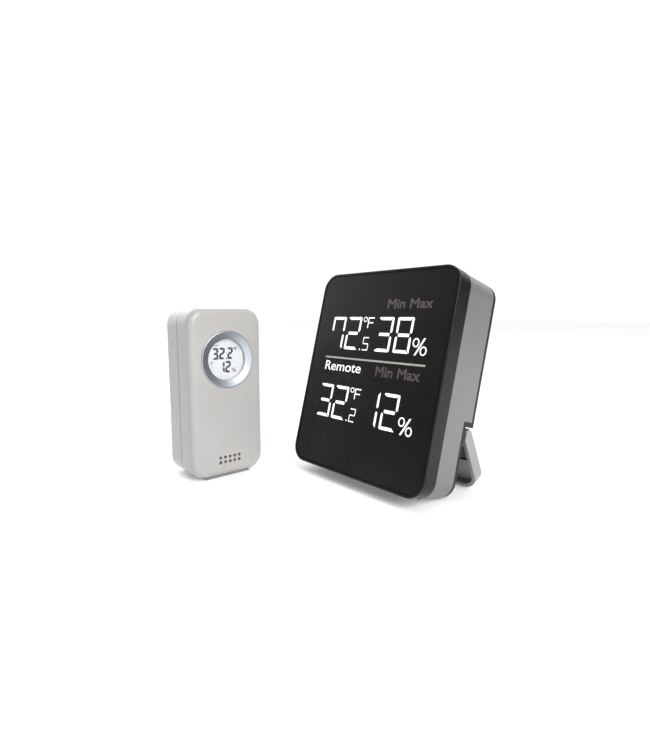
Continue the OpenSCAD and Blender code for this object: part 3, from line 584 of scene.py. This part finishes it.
def word_loops(text, x0, x1, z0, z1, bold):
    """Outlines of a word in the built-in sans, thickened by bold and fitted to a box."""
    curve = bpy.data.curves.new("word", "FONT")
    curve.body = text
    curve.resolution_u = 5
    temp = bpy.data.objects.new("word", curve)
    bpy.context.scene.collection.objects.link(temp)
    bpy.context.view_layer.update()
    graph = bpy.context.evaluated_depsgraph_get()
    flat = bpy.data.meshes.new_from_object(temp.evaluated_get(graph))
    uses = {}
    for poly in flat.polygons:
        for key in poly.edge_keys:
            uses[key] = uses.get(key, 0) + 1
    rim = [key for key, count in uses.items() if count == 1]
    co = np.array([v.co[:2] for v in flat.vertices])
    bpy.data.objects.remove(temp)
    bpy.data.meshes.remove(flat)
    low, high = co.min(0), co.max(0)
    fit = np.array([x1 - x0 - 2 * bold, z1 - z0 - 2 * bold]) / (high - low)
    co = (co - low) * fit + np.array([x0 + bold, z0 + bold])
    xs = np.arange(x0 - GLYPH_MARGIN, x1 + GLYPH_MARGIN, GLYPH_GRID)
    zs = np.arange(z0 - GLYPH_MARGIN, z1 + GLYPH_MARGIN, GLYPH_GRID)
    ends_a = co[[a for a, b in rim]]
    ends_b = co[[b for a, b in rim]]
    field = np.array([
        signed_distance(np.column_stack([xs, np.full(len(xs), z)]), ends_a, ends_b)
        for z in zs
    ]) - bold
    return [thin_out(loop) for loop in contour_loops(field, xs, zs)]


def signed_area(loop):
    """Area of a closed loop, negative when it runs clockwise."""
    return sum(ax * bz - bx * az for (ax, az), (bx, bz) in zip(loop, loop[1:] + loop[:1])) / 2


def contains(loop, point):
    """True when the point lies inside the closed loop."""
    px, pz = point
    odd = False
    for (ax, az), (bx, bz) in zip(loop, loop[1:] + loop[:1]):
        if (az > pz) != (bz > pz) and px < ax + (pz - az) * (bx - ax) / (bz - az):
            odd = not odd
    return odd


def letters(loops):
    """Each outer loop together with the holes that lie inside it."""
    side = signed_area(max(loops, key=lambda loop: abs(signed_area(loop))))
    outers = [loop for loop in loops if signed_area(loop) * side > 0]
    holes = [loop for loop in loops if signed_area(loop) * side <= 0]
    return [[outer] + [h for h in holes if contains(outer, h[0])] for outer in outers]


def word_piece(name, text, x0, x1, z0, z1, bold, mat):
    """A word on the display's front panel, one solid of ink thickness for each letter."""
    bm = bmesh.new()
    for loops in letters(word_loops(text, x0, x1, z0, z1, bold)):
        flat = [p for loop in loops for p in loop]
        front = [bm.verts.new(DISPLAY @ Vector((x, LIT_DEPTH, z))) for x, z in flat]
        back = [bm.verts.new(DISPLAY @ Vector((x, PANEL_FRONT, z))) for x, z in flat]
        for a, b, c in tessellate_polygon([[Vector((x, z, 0)) for x, z in loop] for loop in loops]):
            bm.faces.new([front[a], front[b], front[c]])
            bm.faces.new([back[c], back[b], back[a]])
        start = 0
        for loop in loops:
            for i in range(len(loop)):
                a = start + i
                b = start + (i + 1) % len(loop)
                bm.faces.new([front[a], front[b], back[b], back[a]])
            start += len(loop)
    finish_piece(name, bm, mat, "display")


def percent(x0, z0, x1, z1, stroke):
    """Percent sign: two oval rings and a slash."""
    w = x1 - x0
    h = z1 - z0
    slash = [(x0 + 0.2 * w, z0), (x0 + 0.32 * w, z0), (x0 + 0.82 * w, z1), (x0 + 0.7 * w, z1)]
    rx = 0.22 * w
    rz = 0.27 * h
    return (
        [slash]
        + ring_shapes(x0 + rx, z1 - rz, rx, rz, stroke)
        + ring_shapes(x1 - rx, z0 + rz, rx, rz, stroke)
    )


# ---- the display's front panel: two lines of readings, a divider and words ----

DIGIT_W = 10.9
DIGIT_H = 19.5
STROKE_V = 1.42
STROKE_H = 1.75
SEGMENT_GAP = 0.8
ROOM_LINE = 71.2
REMOTE_LINE = 29.9
DIVIDER = (-36.5, 65.3, 38.4, 66.3)
REMOTE_WORD = (-35.3, -5.2, 57.9, 63.6)

# Places in a line of readings, with heights measured from the bottom of its digits.
TENS_RIGHT = -24.3
UNITS_RIGHT = -11.3
HUMID_TENS_RIGHT = 12.95
HUMID_UNITS_RIGHT = 26.5
TENTHS_LEFT = -7.5
TENTHS_BOTTOM = 0.1
TENTHS_W = 4.5
TENTHS_H = 7.7
POINT = (-9.6, 0.1, -8.8, 0.95)
DEGREE_MIDDLE = (-8.5, 18.1)
LETTER = (-6.3, 13.1, -1.7, 19.3)
PERCENT = (28.0, -0.5, 37.6, 8.6)


def big_digit(char, right):
    """One of the large digits, given its right edge."""
    return segment_shapes(char, right - DIGIT_W, 0, DIGIT_W, DIGIT_H, STROKE_V, STROKE_H, SEGMENT_GAP)


def reading(prefix, tens, units, tenths, humid_tens, humid_units, bottom):
    """One line of the screen: temperature with its small decimal, and humidity."""
    decimal = segment_shapes(
        tenths, TENTHS_LEFT, TENTHS_BOTTOM, TENTHS_W, TENTHS_H, tv=0.5, th=0.6, gap=0)
    humidity = big_digit(humid_tens, HUMID_TENS_RIGHT) + big_digit(humid_units, HUMID_UNITS_RIGHT)
    shapes = {
        "temperature_digits": big_digit(tens, TENS_RIGHT) + big_digit(units, UNITS_RIGHT),
        "temperature_decimal": decimal + [box_shape(*POINT)],
        "degree_sign": ring_shapes(*DEGREE_MIDDLE, 1.6, 1.5, 0.5) + [letter_f(*LETTER, 0.68)],
        "humidity_digits": humidity,
        "humidity_percent": percent(*PERCENT, 0.72),
    }
    line = DISPLAY @ Matrix.Translation((0, 0, bottom))
    for name, polygons in shapes.items():
        make_piece(prefix + "_" + name, polygons, line, LIT_DEPTH, LIT, "display")


reading("room", "7", "2", "5", "3", "8", ROOM_LINE)
reading("remote", "3", "2", "2", "1", "2", REMOTE_LINE)
make_piece("divider_line", [box_shape(*DIVIDER)], DISPLAY, LIT_DEPTH, INK_LINE, "display")
word_piece("remote_word", "Remote", *REMOTE_WORD, 0.03, LIT)
for part, low, high in (("upper", 95.4, 101.0), ("lower", 57.4, 63.3)):
    word_piece("min_max_words_" + part, "Min Max", 6.2, 36.4, low, high, 0.2, INK_FAINT)


# ---- the remote's round screen, measured from its middle ----

SMALL_W = 3.7
SMALL_H = 6.8
SMALL_STROKE = 1.28
UPPER_LINE = 0.1
LOWER_LINE = -7.8


def dark(name, shapes, mat=INK_DARK):
    """Printed shapes on the remote's screen."""
    make_piece(name, shapes, SCREEN, SCREEN_INK, mat, "remote")


def small_digit(char, right, bottom):
    """One of the remote's digits, given its right edge and its bottom."""
    return segment_shapes(char, right - SMALL_W, bottom, SMALL_W, SMALL_H, SMALL_STROKE, SMALL_STROKE, 0)


dark("screen_temperature",
     small_digit("3", -4.5, UPPER_LINE) + small_digit("2", -0.3, UPPER_LINE)
     + small_digit("2", 5.0, UPPER_LINE) + [box_shape(0.25, UPPER_LINE, 1.0, 0.9)])
dark("screen_degree_sign",
     ring_shapes(5.9, 6.5, 0.5, 0.5, 0.25, 12) + [letter_f(6.5, 4.8, 7.9, 7.0, 0.35)])
dark("screen_humidity", small_digit("1", -0.6, LOWER_LINE) + small_digit("2", 3.4, LOWER_LINE))
dark("screen_percent", percent(3.9, LOWER_LINE, 7.0, -5.2, 0.35))
dark("screen_battery_mark",
     [box_shape(-7.2, 7.75, -4.4, 8.7), box_shape(-4.3, 8.0, -4.0, 8.45)], INK_GREY)
dark("screen_signal_mark",
     [[(-10.0, -1.0), (-7.7, -1.0), (-8.85, -2.7)], box_shape(-9.0, -4.2, -8.7, -2.7)], INK_GREY)


# ---- floor, light and camera ----

FLOOR_RADIUS = 9.0
CAMERA_AT = Vector((202.7, -176.3, 95.4)) * MM
CAMERA_DOWN = 7.18
CAMERA_HEADING = 48.8
CAMERA_LENS = 22.68
WORLD_BASE = 0.06

floor_mesh = bpy.data.meshes.new("floor")
bm = bmesh.new()
bmesh.ops.create_circle(bm, cap_ends=True, segments=96, radius=FLOOR_RADIUS)
bm.to_mesh(floor_mesh)
bm.free()
floor_paint = Paint("floor_paint", (0.93, 0.93, 0.93), 0.85, Emission_Color=(1, 1, 1, 1),
                    Emission_Strength=0.16)
floor_paint.vary_color(floor_paint.noise(300, 3), (0.95, 0.95, 0.95))
floor_paint.add_bump(floor_paint.noise(1.2, 3), 0.01)
floor_mesh.materials.append(floor_paint.mat)
floor = bpy.data.objects.new("floor", floor_mesh)
bpy.context.scene.collection.objects.link(floor)


def studio_world():
    """Pale studio dome: brightest at the left, then behind the set and overhead."""
    world = bpy.data.worlds.new("studio")
    bpy.context.scene.world = world
    world.use_nodes = True
    tree = world.node_tree
    back = tree.nodes["Background"]
    coords = tree.nodes.new("ShaderNodeTexCoord")

    def lobe(direction, low, high, gain):
        """Light that grows to gain while the cosine to a direction rises from low to high."""
        dot = tree.nodes.new("ShaderNodeVectorMath")
        dot.operation = "DOT_PRODUCT"
        dot.inputs[1].default_value = Vector(direction).normalized()
        tree.links.new(coords.outputs["Generated"], dot.inputs[0])
        ramp = tree.nodes.new("ShaderNodeMapRange")
        ramp.interpolation_type = "SMOOTHSTEP"
        ramp.inputs["From Min"].default_value = low
        ramp.inputs["From Max"].default_value = high
        ramp.inputs["To Min"].default_value = 0
        ramp.inputs["To Max"].default_value = gain
        tree.links.new(dot.outputs["Value"], ramp.inputs["Value"])
        return ramp.outputs["Result"]

    heading = math.radians(CAMERA_HEADING)
    overhead = lobe((0, 0, 1), 0.15, 0.95, 0.62)
    behind = lobe((-math.sin(heading), math.cos(heading), 0.0), 0.3, 0.6, 1.05)
    left = lobe((-0.98, -0.1, 0.15), 0.65, 1.0, 1.6)
    total = None
    for light in (overhead, behind, left):
        add = tree.nodes.new("ShaderNodeMath")
        add.operation = "ADD"
        tree.links.new(light, add.inputs[0])
        if total is None:
            add.inputs[1].default_value = WORLD_BASE
        else:
            tree.links.new(total, add.inputs[1])
        total = add.outputs["Value"]
    tree.links.new(total, back.inputs["Strength"])
    back.inputs["Color"].default_value = (1, 1, 1, 1)


studio_world()


def soft_light(name, at, aim, size, power):
    """A rectangular lamp at a place in metres, turned towards aim."""
    data = bpy.data.lights.new(name, "AREA")
    data.shape = "RECTANGLE"
    data.size, data.size_y = size
    data.energy = power
    obj = bpy.data.objects.new(name, data)
    bpy.context.scene.collection.objects.link(obj)
    obj.location = at
    obj.rotation_euler = (Vector(aim) - Vector(at)).to_track_quat("-Z", "Y").to_euler()


soft_light("key", (1.1, -0.12, 0.7), (0, 0, 0.05), (0.9, 0.9), 19)
soft_light("top", (-0.25, -0.15, 1.2), (0, 0, 0.05), (0.25, 0.6), 2.0)

cam_data = bpy.data.cameras.new("camera")
cam_data.sensor_width = 36
cam_data.lens = CAMERA_LENS
cam_data.clip_start = 0.01
cam_data.clip_end = 60
camera = bpy.data.objects.new("camera", cam_data)
bpy.context.scene.collection.objects.link(camera)
camera.location = CAMERA_AT
camera.rotation_euler = (math.radians(90 - CAMERA_DOWN), 0, math.radians(CAMERA_HEADING))
bpy.context.scene.camera = camera
bpy.context.scene.view_settings.view_transform = "Standard"
